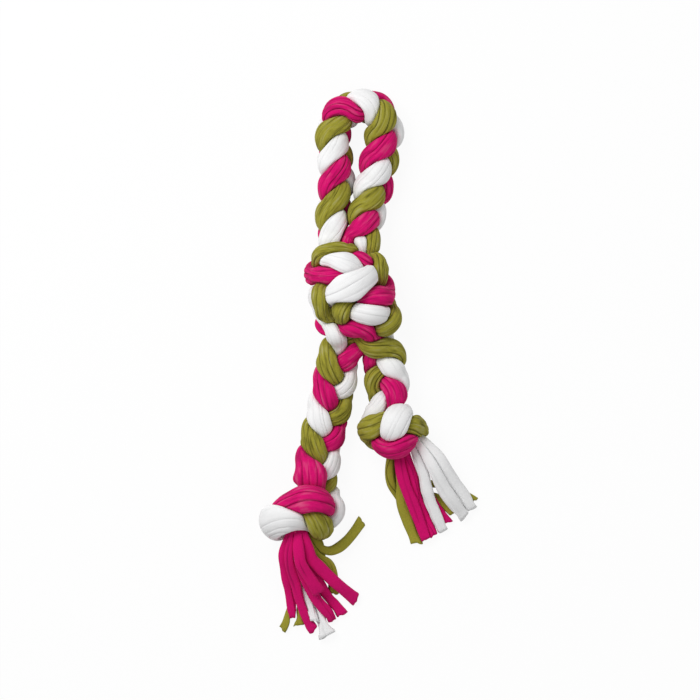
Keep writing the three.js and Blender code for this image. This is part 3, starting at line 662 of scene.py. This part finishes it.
def strand_skin(rope, strand, sizes):
    """Rings round a strand of rolled strips, and how much painted shade each point gets in its fold."""
    rng = np.random.default_rng(STRAND_SEED + COLOURS.index(strand.colour))
    count = len(strand.middle)
    rolls = sizes.rolls
    twist = FOLD_TWIST * strand.distance + drift(rng, count, *TWIST_SWAY)
    folds = [TURN * j / rolls + drift(rng, count, *FOLD_SWAY) + twist for j in range(rolls)]
    folds = np.array([*folds, folds[0] + TURN])[:, :, None]
    angles = np.hstack(folds[:-1] + np.diff(folds, axis=0) * ROLL_PART)
    share = FOLD_SHARE[strand.colour] * sizes.fold_depth
    depths = np.array([DEPTH_MEAN + drift(rng, count, *DEPTH_SWAY) for _ in range(rolls)])
    depths = share * np.clip(depths, DEPTH_LEAST, 1)[:, :, None]
    depths = depths * (1 - ROLL_PART) + np.roll(depths, -1, axis=0) * ROLL_PART
    edge = np.abs(2 * ROLL_PART - 1)
    groove = PILLOW_SHARE * edge**PILLOW_POWER + (1 - PILLOW_SHARE) * edge**FOLD_POWER
    side = carried_sides(strand.direction)
    outward = around(angles, side, np.cross(strand.direction, side))
    search = strand.girth * (1 + SPREAD)
    room = rope.room([rope.lines.index(strand)], strand.middle, strand.distance, outward, search, rope.crowd)
    radius = spread_radius(outward, room, strand.girth[:, None])
    inward = np.einsum("ijk,ik->ij", outward, strand.bend)
    room = np.minimum(room, BEND_SHARE / np.maximum(inward, TINY))
    reach = pressed(radius, room) * (1 - np.hstack(depths * groove))
    reach = np.minimum(reach, floor_reach(strand.middle, outward, 0.0))
    # Painted shade: a dark line along each fold, deeper where the fold is deeper.
    painted_shade = np.hstack(depths / share * edge**CREASE_POWER)
    return strand.middle[:, None] + outward * reach[:, :, None], painted_shade


def cloth_object(name, rings, painted_shade, girth, along):
    """A closed mesh of rings in millimetres, with its cloth map and its painted shade, as an object in
    metres.
    """
    count, sides = painted_shade.shape
    j, k = np.meshgrid(np.arange(count - 1), np.arange(sides), indexing="ij")
    a = (j * sides + k).ravel()
    b = (j * sides + (k + 1) % sides).ravel()
    faces = np.stack((a, b, b + sides, a + sides), axis=1).tolist()
    last = (count - 1) * sides
    for i in range(sides):
        faces.append((count * sides, (i + 1) % sides, i))
        faces.append((count * sides + 1, last + i, last + (i + 1) % sides))
    points = np.vstack((rings.reshape(-1, 3), rings[0].mean(axis=0), rings[-1].mean(axis=0)))
    mesh = bpy.data.meshes.new(name)
    mesh.from_pydata((points * MM).tolist(), [], faces, shade_flat=False)
    turn = np.stack((k, k + 1, k + 1, k), axis=2).ravel() / sides * girth
    run = np.stack((along[j], along[j], along[j + 1], along[j + 1]), axis=2).ravel()
    maps = np.zeros((len(mesh.loops), 2))
    maps[:len(turn)] = np.stack((turn, run), axis=1) * MM
    mesh.uv_layers.new(name="cloth").data.foreach_set("uv", maps.ravel())
    # The fold attribute holds painted shade, for the folds of a strand or a strip.
    folds = mesh.attributes.new("fold", "FLOAT", "POINT")
    folds.data.foreach_set("value", np.append(painted_shade, (0.0, 0.0)))
    mesh.update()
    ends = np.empty(2 * len(mesh.edges), int)
    mesh.edges.foreach_get("vertices", ends)
    ring = np.minimum(ends // sides, count).reshape(-1, 2)
    rim = (ring[:, 0] == ring[:, 1]) & np.isin(ring[:, 0], (0, count - 1))
    mesh.edges.foreach_set("use_edge_sharp", rim.tolist())
    piece = bpy.data.objects.new(name, mesh)
    bpy.context.scene.collection.objects.link(piece)
    return piece


# A loose strip: how it starts inside its bundle, and its shape along and round it.
STRIP_SEED = 700
STRIP_POINTS = 36
ROOT_OVERLAP = 3.0
ROOT_SPREAD = 0.35
STRIP_SMOOTHING = 20
STRIP_SWELL = 1.02
STRIP_SQUARENESS = 2.4
STRIP_LEAST_REACH = 0.3
WIDTH_SWAY = (9, 0.08)
HEIGHT_SWAY = (12, 0.15)
FLOOR_GAP = 0.1

# The edge of the rolled cloth along a strip, and the folds in it, both with painted shade.
LEDGE_ANGLE = 0.03
LEDGE_SWAY = (16, 0.7)
LEDGE_SHADE = 0.8
STRIP_FOLDS = 2
STRIP_FOLD_WIDTH = 0.16
STRIP_FOLD_DEPTH = 0.16
STRIP_FOLD_SHADE = 0.7
STRIP_FOLD_MEAN = 0.3
STRIP_FOLD_FADE = (12, 0.8)
STRIP_FOLD_SWAY = (14, 0.6)

# The end of a strip: flatter and wider, torn off aslant, and open, with painted shade on its inside.
FLAT_LENGTH = 18.0
END_WIDENING = 0.1
END_FLATTENING = 0.14
TORN_LENGTH = 9.0
TORN_DEPTH = 0.9
TORN_SLANT = 2.2
TORN_CORNERS = 8
OPEN_LENGTH = 6.0
WALL_SHARE = 0.4
INSIDE_SHADE = 0.6


def strip_route(rope, strip):
    """The line of a loose strip, from inside its bundle to its cut end, and the distance along it."""
    bundle = rope.strands[COLOURS.index(strip.colour)]
    cuts = strand_cuts(bundle)
    overlap = int(ROOT_OVERLAP / bundle.distance[1])
    if strip.name.startswith("left"):
        tail = bundle.middle[cuts["left_root"] - overlap:-1]
    else:
        tail = bundle.middle[cuts["right_root"] + overlap:0:-1]
    share = np.linspace(ROOT_SPREAD, 1, len(tail))[:, None]
    middle = np.vstack((tail + share * strip.sideways, strip.middle))
    middle[1:-1] = smoothed(middle, STRIP_SMOOTHING)[1:-1]
    return middle, run_lengths(middle)


def strip_skin(rope, strip, sizes, seed):
    """Rings round a rolled strip that is open at its end, how much painted shade each point gets, and how far
    along.
    """
    rng = np.random.default_rng(seed)
    middle, distance = rope.routes[strip.name]
    count = len(middle)
    direction = tangents(middle)
    level = unit(np.cross(UP, direction))
    near_end = np.clip(1 - (distance[-1] - distance) / FLAT_LENGTH, 0, 1)
    half = strip.girth[0] * STRIP_SWELL * (1 + drift(rng, count, *WIDTH_SWAY) + END_WIDENING * near_end)
    flatness = sizes.strip_flatness * (1 + drift(rng, count, *HEIGHT_SWAY))
    height = half * (flatness - END_FLATTENING * near_end)
    ledge = rng.uniform(0, TURN) + drift(rng, count, *LEDGE_SWAY)
    part = np.linspace(0, TURN - LEDGE_ANGLE, STRIP_POINTS)
    angles = ledge[:, None] + part
    outward = around(angles, level, np.cross(direction, level))
    across = np.abs(np.cos(angles) / half[:, None]) ** STRIP_SQUARENESS
    across = across + np.abs(np.sin(angles) / height[:, None]) ** STRIP_SQUARENESS
    owners = [rope.lines.index(strip), COLOURS.index(strip.colour)]
    room = rope.room(owners, middle, distance, outward, half, rope.strip_crowd)
    thickness = sizes.cloth_thickness / MM
    reach = pressed(across ** (-1 / STRIP_SQUARENESS), room) - thickness * part / TURN
    shade = np.zeros((count, STRIP_POINTS))
    # Painted shade along the rolled edge of the cloth.
    shade[:, -1] = LEDGE_SHADE
    for _ in range(STRIP_FOLDS):
        place = rng.uniform(0, TURN) + drift(rng, count, *STRIP_FOLD_SWAY)
        off = (angles - place[:, None] + math.pi) % TURN - math.pi
        strength = np.clip(STRIP_FOLD_MEAN + drift(rng, count, *STRIP_FOLD_FADE), 0, 1)[:, None]
        fold = strength * np.exp(-((off / STRIP_FOLD_WIDTH) ** 2))
        reach = reach * (1 - STRIP_FOLD_DEPTH * fold)
        # Painted shade in the fold.
        shade = np.maximum(shade, STRIP_FOLD_SHADE * fold)
    reach = np.maximum(np.minimum(reach, floor_reach(middle, outward, FLOOR_GAP)), STRIP_LEAST_REACH)
    torn = np.clip((distance - distance[-1] + TORN_LENGTH) / TORN_LENGTH, 0, 1) ** 2
    slant = rng.uniform(-TORN_SLANT, TORN_SLANT)
    jag = rng.uniform(-1, 1, TORN_CORNERS)
    corners = np.linspace(0, TURN, TORN_CORNERS + 1)
    jagged = np.interp(angles % TURN, corners, np.append(jag, jag[0]))
    tear = torn[:, None] * (slant * np.cos(angles) + TORN_DEPTH * jagged)
    skins = []
    for stand in (reach, reach - np.minimum(thickness, WALL_SHARE * reach)):
        skin = middle[:, None] + outward * stand[:, :, None] + tear[:, :, None] * direction[:, None]
        skin[:, :, 2] = np.maximum(skin[:, :, 2], FLOOR_GAP)
        skins.append(skin)
    back = int(OPEN_LENGTH / distance[1])
    rings = np.vstack((skins[0], skins[1][:-back - 1:-1]))
    # Painted shade on the inside wall of the open end.
    shade = np.vstack((shade, np.full((back, STRIP_POINTS), INSIDE_SHADE)))
    return rings, shade, np.append(distance, distance[:-back - 1:-1])


# Where a Mix node keeps its colours among its sockets, whose names it uses more than once.
MIX_AMOUNT = 0
MIX_FIRST = 6
MIX_SECOND = 7
MIX_RESULT = 2


class Shade:
    """A socket in a material's nodes, with which sums are written as in Python."""

    def __init__(self, tree, socket=None):
        self.tree = tree
        self.socket = socket

    def make(self, kind, settings, inputs, output=0):
        """Add a node: its settings first, then the values or links of its sockets."""
        node = self.tree.nodes.new(kind)
        for name, value in settings.items():
            setattr(node, name, value)
        for name, value in inputs.items():
            if isinstance(value, Shade):
                self.tree.links.new(value.socket, node.inputs[name])
            else:
                node.inputs[name].default_value = value
        return Shade(self.tree, node.outputs[output] if len(node.outputs) else None)

    def mix(self, amount, first, second):
        """A colour that lies between two others by an amount."""
        inputs = {MIX_AMOUNT: amount, MIX_FIRST: first, MIX_SECOND: second}
        return self.make("ShaderNodeMix", {"data_type": "RGBA"}, inputs, output=MIX_RESULT)

    def sum(self, operation, *values):
        """A Math node on values."""
        return self.make("ShaderNodeMath", {"operation": operation}, dict(enumerate(values)))

    def __add__(self, other):
        return self.sum("ADD", self, other)

    def __radd__(self, other):
        return self.sum("ADD", other, self)

    def __sub__(self, other):
        return self.sum("SUBTRACT", self, other)

    def __rsub__(self, other):
        return self.sum("SUBTRACT", other, self)

    def __mul__(self, other):
        return self.sum("MULTIPLY", self, other)

    def __rmul__(self, other):
        return self.sum("MULTIPLY", other, self)

    def __truediv__(self, other):
        return self.sum("DIVIDE", self, other)

    def __rtruediv__(self, other):
        return self.sum("DIVIDE", other, self)


def fresh_nodes(owner):
    """The emptied nodes of a material or a world, to start from."""
    owner.use_nodes = True
    owner.node_tree.nodes.clear()
    return Shade(owner.node_tree)


# The jersey's tones: its noises, the shades of its colour, its painted shade in folds, its painted wrinkle
# shade and highlights, and how strongly each shows.
MOTTLE = {"Scale": 70.0, "Detail": 3.0}
FIBRE = {"Scale": 900.0, "Detail": 2.0}
CRUMPLE = {"Scale": 480.0, "Detail": 2.0}
DARK_SHARE = 0.17
PALE_SHARE = 1.14
PALEST = 0.95
PAINTED_HIGHLIGHT_SHARE = 0.15
FOLD_SHADE = {"green": 1.0, "pink": 0.8, "white": 0.2}
FIBRE_SHARE = {"green": 0.5, "pink": 0.4, "white": 0.12}
FIBRE_FROM = 0.35
WRINKLE_LIGHT_SHARE = {"green": 0.75, "pink": 0.5, "white": 0.08}
CRUMPLE_STRETCH = 0.16
WRINKLE_HIGHLIGHT_RANGE = (0.46, 0.26)
WRINKLE_SHADE_RANGE = (0.52, 0.72)

# The knit: the height of a stitch against its width, how its rows lean, and its relief.
COURSE_SHARE = 0.8
COURSE_LEAN = 6.0
COURSE_RELIEF = 0.2
FIBRE_RELIEF = 1.6
KNIT_STRENGTH = 0.5
KNIT_RELIEF = 0.00016


def jersey(colour, looks, painted_wrinkles):
    """Knitted cotton of one colour, mottled, with painted shade in its folds, painted wrinkle shade and
    highlights if chosen, and the knit's columns of stitches.
    """
    name = f"{colour}_jersey" if painted_wrinkles else f"{colour}_strip_jersey"
    if name in bpy.data.materials:
        return bpy.data.materials[name]
    material = bpy.data.materials.new(name)
    start = fresh_nodes(material)
    base = tuple(getattr(looks, colour))
    cloth = start.make("ShaderNodeUVMap", {"uv_map": "cloth"}, {})
    across = start.make("ShaderNodeSeparateXYZ", {}, {"Vector": cloth}, output="X")
    along = start.make("ShaderNodeSeparateXYZ", {}, {"Vector": cloth}, output="Y")
    place = start.make("ShaderNodeTexCoord", {}, {}, output="Object")
    mottle = start.make("ShaderNodeTexNoise", {}, {"Vector": place, **MOTTLE})
    fibre = start.make("ShaderNodeTexNoise", {}, {"Vector": place, **FIBRE})
    fold = start.make("ShaderNodeAttribute", {"attribute_name": "fold"}, {}, output="Fac")
    # A darker tone of the colour: painted shade in folds and wrinkles, and the fibre's random speckle.
    shade_and_fibre_dark = (*[value * DARK_SHARE for value in base], 1)
    pale = (*[min(value * PALE_SHARE, PALEST) for value in base], 1)
    # A paler tone, for painted highlights on the ridges between wrinkles.
    light = (*[value + (1 - value) * PAINTED_HIGHLIGHT_SHARE for value in base], 1)
    tone = start.mix(mottle, (*base, 1), pale)
    # Painted shade: the colour darkens where the fold attribute holds painted shade.
    tone = start.mix(fold * FOLD_SHADE[colour], tone, shade_and_fibre_dark)
    tone = start.mix((fibre - FIBRE_FROM) * FIBRE_SHARE[colour], tone, shade_and_fibre_dark)
    # Painted wrinkle shade and highlights: thin streaks of noise along the cloth, darker for shade and paler
    # for highlights.
    if painted_wrinkles:
        drawn = start.make("ShaderNodeCombineXYZ", {}, {"X": across, "Y": along * CRUMPLE_STRETCH})
        crumple = start.make("ShaderNodeTexNoise", {}, {"Vector": drawn, **CRUMPLE})
        for (near, far), shade in ((WRINKLE_SHADE_RANGE, shade_and_fibre_dark), (WRINKLE_HIGHLIGHT_RANGE, light)):
            spread = {"Value": crumple, "From Min": near, "From Max": far, "To Max": WRINKLE_LIGHT_SHARE[colour]}
            tone = start.mix(start.make("ShaderNodeMapRange", {}, spread), tone, shade)
    column = start.sum("PINGPONG", across / looks.wale, 0.5)
    row = start.sum("SINE", along * (TURN / (looks.wale * COURSE_SHARE)) + column * COURSE_LEAN)
    knit = column + row * COURSE_RELIEF + fibre * (FIBRE_RELIEF * FIBRE_SHARE[colour])
    bump = {"Strength": KNIT_STRENGTH, "Distance": KNIT_RELIEF, "Height": knit}
    finish = {
        "Base Color": tone,
        "Roughness": 0.88,
        "Specular IOR Level": 0.1,
        "Sheen Weight": 0.03,
        "Sheen Roughness": 0.5,
        "Normal": start.make("ShaderNodeBump", {}, bump),
    }
    surface = start.make("ShaderNodeBsdfPrincipled", {}, finish)
    start.make("ShaderNodeOutputMaterial", {}, {"Surface": surface})
    return material


def dressed(piece, colour, scene, painted_wrinkles):
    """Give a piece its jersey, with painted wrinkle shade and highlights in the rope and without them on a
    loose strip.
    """
    piece.data.materials.append(jersey(colour, scene.rope_cloth, painted_wrinkles))
    return piece


# How a strand thins where it splits into its strips.
TAPER_LENGTH = 8.0
TAPER_LEAST = 0.45


def strand_cuts(strand):
    """The fine points of a strand where one stretch of the rope ends and the next begins."""
    ends = strand.ends
    loop_middle = 0.5 * (ends["knot_right"] + ends["loop"])
    return {
        "right_root": strand.index(ends["right_root"] + ROOT_CUT),
        "right_neck": strand.crossing(NECKS["right_leg"][0], ends["right_knot"]),
        "loop_start": strand.crossing(NECKS["hand_loop"][0], ends["knot_right"] - POINT_STEP),
        "loop_end": strand.crossing(NECKS["hand_loop"][0], loop_middle),
        "left_neck": strand.crossing(NECKS["left_leg"][0], ends["knot_left"] - POINT_STEP),
        "left_root": strand.index(ends["left_knot"] + ROOT_CUT),
    }


def strand_piece(scene, name, colour, start, end, taper=None):
    """The stretch of one strand between two of its cuts, as a closed piece of cloth."""
    rope = laid_rope(scene)
    strand = rope.strands[COLOURS.index(colour)]
    strand.skin = strand.skin or strand_skin(rope, strand, scene.rope_sizes)
    cuts = strand_cuts(strand)
    run = slice(cuts[start], cuts[end] + 1)
    rings = strand.skin[0][run].copy()
    painted_shade = strand.skin[1][run]
    distance = strand.distance[run]
    if taper:
        left = distance[-1] - distance if taper == "end" else distance - distance[0]
        share = TAPER_LEAST + (1 - TAPER_LEAST) * np.sqrt(np.clip(left / TAPER_LENGTH, 0, 1))
        middle = strand.middle[run][:, None]
        rings = middle + (rings - middle) * share[:, None, None]
    girth = TURN * scene.rope_sizes.strand_radius / MM
    piece = cloth_object(f"{name}_{colour}_strand", rings, painted_shade, girth, distance)
    return dressed(piece, colour, scene, painted_wrinkles=True)


def bent(piece):
    """Bake a piece's place into its mesh."""
    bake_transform(piece)


# The stage, in metres: where the camera looks, the floor, and the places and widths of the lamps.
VIEW_MIDDLE = (-0.0018, -0.045)
SENSOR_WIDTH = 36
ROPE_MIDDLE = 0.03
FLOOR_SIZE = 6
FLOOR_LEVEL = -0.0004
GLOW_SHARE = 0.93
LAMP_AIM = np.array((0, -0.05, 0))
KEY_LAMP = ((-0.75, 0.7, 1.5), 1.1)
FILL_LAMP = ((0.9, -0.5, 1.3), 1.4)
WHITE = (1, 1, 1, 1)


class ROPE_TOY_OT_stage(bpy.types.Operator):
    """Set up the floor, the light and the camera"""

    bl_idname = "rope_toy.stage"
    bl_label = "Stage"

    def execute(self, context):
        scene = context.scene
        looks = scene.rope_stage
        scene.view_settings.view_transform = "Standard"
        bpy.ops.object.select_all(action="DESELECT")
        bpy.ops.object.camera_add(location=(*VIEW_MIDDLE, looks.camera_height), rotation=(0, 0, 0))
        camera = context.object
        camera.name = "camera"
        camera.data.sensor_width = SENSOR_WIDTH
        camera.data.lens = SENSOR_WIDTH * (looks.camera_height - ROPE_MIDDLE) / looks.view_width
        scene.camera = camera
        bpy.ops.mesh.primitive_plane_add(size=FLOOR_SIZE, location=(0, 0, FLOOR_LEVEL))
        floor = context.object
        floor.name = "floor"
        bpy.ops.object.transform_apply(location=True)
        floor.data.materials.append(self.floor_material(looks))
        self.lamp("key", *KEY_LAMP, looks.key_power)
        self.lamp("fill", *FILL_LAMP, looks.fill_power)
        self.sky(scene, looks)
        return {"FINISHED"}

    def floor_material(self, looks):
        """White where the camera looks, with the toy's faint shadow, and plain under the toy's own light."""
        material = bpy.data.materials.new("white_floor")
        start = fresh_nodes(material)
        matt = start.make("ShaderNodeBsdfDiffuse", {}, {"Color": (*looks.floor, 1)})
        glow = start.make("ShaderNodeEmission", {}, {"Color": WHITE, "Strength": 1.0})
        mixed = start.make("ShaderNodeMixShader", {}, {0: self.seen(start) * GLOW_SHARE, 1: matt, 2: glow})
        start.make("ShaderNodeOutputMaterial", {}, {"Surface": mixed})
        return material

    def seen(self, start):
        """One where the camera, a reflection or clear matter looks, and nought for the toy's own light."""
        kinds = ("Is Camera Ray", "Is Glossy Ray", "Is Transmission Ray")
        rays = [start.make("ShaderNodeLightPath", {}, {}, output=kind) for kind in kinds]
        return start.sum("MAXIMUM", start.sum("MAXIMUM", rays[0], rays[1]), rays[2])

    def lamp(self, name, place, size, power):
        """A large soft lamp that faces the middle of the toy."""
        bpy.ops.object.light_add(type="AREA", location=place)
        lamp = bpy.context.object
        lamp.name = name
        lamp.data.shape = "DISK"
        lamp.data.size = size
        lamp.data.energy = power
        aim = LAMP_AIM - np.array(place)
        flat = math.hypot(aim[0], aim[1])
        lamp.rotation_euler = (math.atan2(flat, -aim[2]), 0, math.atan2(aim[1], aim[0]) - math.pi / 2)

    def sky(self, scene, looks):
        """Even light from all round, and white behind the floor."""
        scene.world = scene.world or bpy.data.worlds.new("sky")
        start = fresh_nodes(scene.world)
        light = start.make("ShaderNodeBackground", {}, {"Color": WHITE, "Strength": looks.sky})
        white = start.make("ShaderNodeBackground", {}, {"Color": WHITE, "Strength": 1.0})
        mixed = start.make("ShaderNodeMixShader", {}, {0: self.seen(start), 1: light, 2: white})
        start.make("ShaderNodeOutputWorld", {}, {"Surface": mixed})


class ROPE_TOY_OT_tassels(bpy.types.Operator):
    """Lay the loose strips of both tassels"""

    bl_idname = "rope_toy.tassels"
    bl_label = "Tassels"

    def execute(self, context):
        scene = context.scene
        rope = laid_rope(scene)
        bound = set()
        for number, strip in enumerate(rope.strips):
            middle, distance = rope.routes[strip.name]
            rings, shade, along = strip_skin(rope, strip, scene.rope_sizes, STRIP_SEED + number)
            diameter = strip.girth[0] * (1 + scene.rope_sizes.strip_flatness)
            piece = cloth_object(f"{strip.name}_cloth", rings, shade, math.pi * diameter, along)
            dressed(piece, strip.colour, scene, painted_wrinkles=False)
            side = strip.name.split("_")[0]
            root = f"{side}_tassel_root_{strip.colour}"
            nodes = [strip.name] if root in bound else [strip.name, root]
            bound.add(root)
            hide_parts(*nodes)
            self.hang(rope, piece, strip, side)
            tuple(middle[0] * MM)
            [tuple(point * MM) for point in middle]
        return {"FINISHED"}

    def hang(self, rope, piece, strip, side):
        """Carry a strip whole with its tassel where it lies back beside the knot, or else bake its place into
        its mesh.
        """
        if strip.middle[-1, 1] > strip.middle[0, 1]:
            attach(piece, f"{side}_tassel")
            return
        cuts = [strand.middle[strand_cuts(strand)[f"{side}_root"]] for strand in rope.strands]
        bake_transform(piece)


class ROPE_TOY_OT_centre_knot(bpy.types.Operator):
    """Tie both halves of the rope in the centre knot"""

    bl_idname = "rope_toy.centre_knot"
    bl_label = "Centre knot"

    def execute(self, context):
        for colour in COLOURS:
            for side, *cuts in (("right", "right_neck", "loop_start"), ("left", "loop_end", "left_neck")):
                piece = strand_piece(context.scene, f"centre_knot_{side}", colour, *cuts)
                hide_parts(f"centre_knot_{side}_{colour}")
                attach(piece, "centre_knot")
        return {"FINISHED"}


class ROPE_TOY_OT_hand_loop(bpy.types.Operator):
    """Plait the hand loop"""

    bl_idname = "rope_toy.hand_loop"
    bl_label = "Hand loop"

    def execute(self, context):
        for colour in COLOURS:
            piece = strand_piece(context.scene, "hand_loop", colour, "loop_start", "loop_end")
            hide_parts(f"hand_loop_{colour}", f"loop_neck_left_{colour}", f"loop_neck_right_{colour}")
            bent(piece)
        return {"FINISHED"}


class ROPE_TOY_OT_legs(bpy.types.Operator):
    """Plait both legs and tie their end knots"""

    bl_idname = "rope_toy.legs"
    bl_label = "Legs"

    def execute(self, context):
        scene = context.scene
        for colour in COLOURS:
            left = strand_piece(scene, "left_leg", colour, "left_neck", "left_root", taper="end")
            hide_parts(f"left_leg_neck_{colour}", f"left_leg_{colour}", f"left_end_knot_{colour}")
            bent(left)
            right = strand_piece(scene, "right_leg", colour, "right_root", "right_neck", taper="start")
            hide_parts(f"right_leg_neck_{colour}", f"right_end_knot_{colour}")
            bent(right)
        return {"FINISHED"}


class ROPE_TOY_PT_pieces(bpy.types.Panel):
    """The pieces of the toy, in the order in which they are made"""

    bl_label = "Rope toy"
    bl_idname = "ROPE_TOY_PT_pieces"
    bl_space_type = "VIEW_3D"
    bl_region_type = "UI"
    bl_category = "Rope toy"

    def draw(self, context):
        for operator in OPERATORS:
            self.layout.operator(operator.bl_idname)
        for group in GROUPS:
            values = getattr(context.scene, group)
            for name in values.bl_rna.properties.keys():
                if name not in {"rna_type", "name"}:
                    self.layout.prop(values, name)


GROUPS = {"rope_sizes": RopeSizes, "rope_cloth": ClothLooks, "rope_stage": StageLooks}
OPERATORS = (
    ROPE_TOY_OT_stage,
    ROPE_TOY_OT_tassels,
    ROPE_TOY_OT_centre_knot,
    ROPE_TOY_OT_hand_loop,
    ROPE_TOY_OT_legs,
)


def register():
    for cls in (*GROUPS.values(), *OPERATORS, ROPE_TOY_PT_pieces):
        bpy.utils.register_class(cls)
    for name, group in GROUPS.items():
        setattr(bpy.types.Scene, name, PointerProperty(type=group))


def unregister():
    for name in GROUPS:
        delattr(bpy.types.Scene, name)
    for cls in (ROPE_TOY_PT_pieces, *OPERATORS, *GROUPS.values()):
        bpy.utils.unregister_class(cls)


def main():
    """Make the whole toy."""
    register()
    bpy.ops.rope_toy.stage()
    bpy.ops.rope_toy.tassels()
    bpy.ops.rope_toy.centre_knot()
    bpy.ops.rope_toy.hand_loop()
    bpy.ops.rope_toy.legs()


if __name__ == "__main__":
    main()
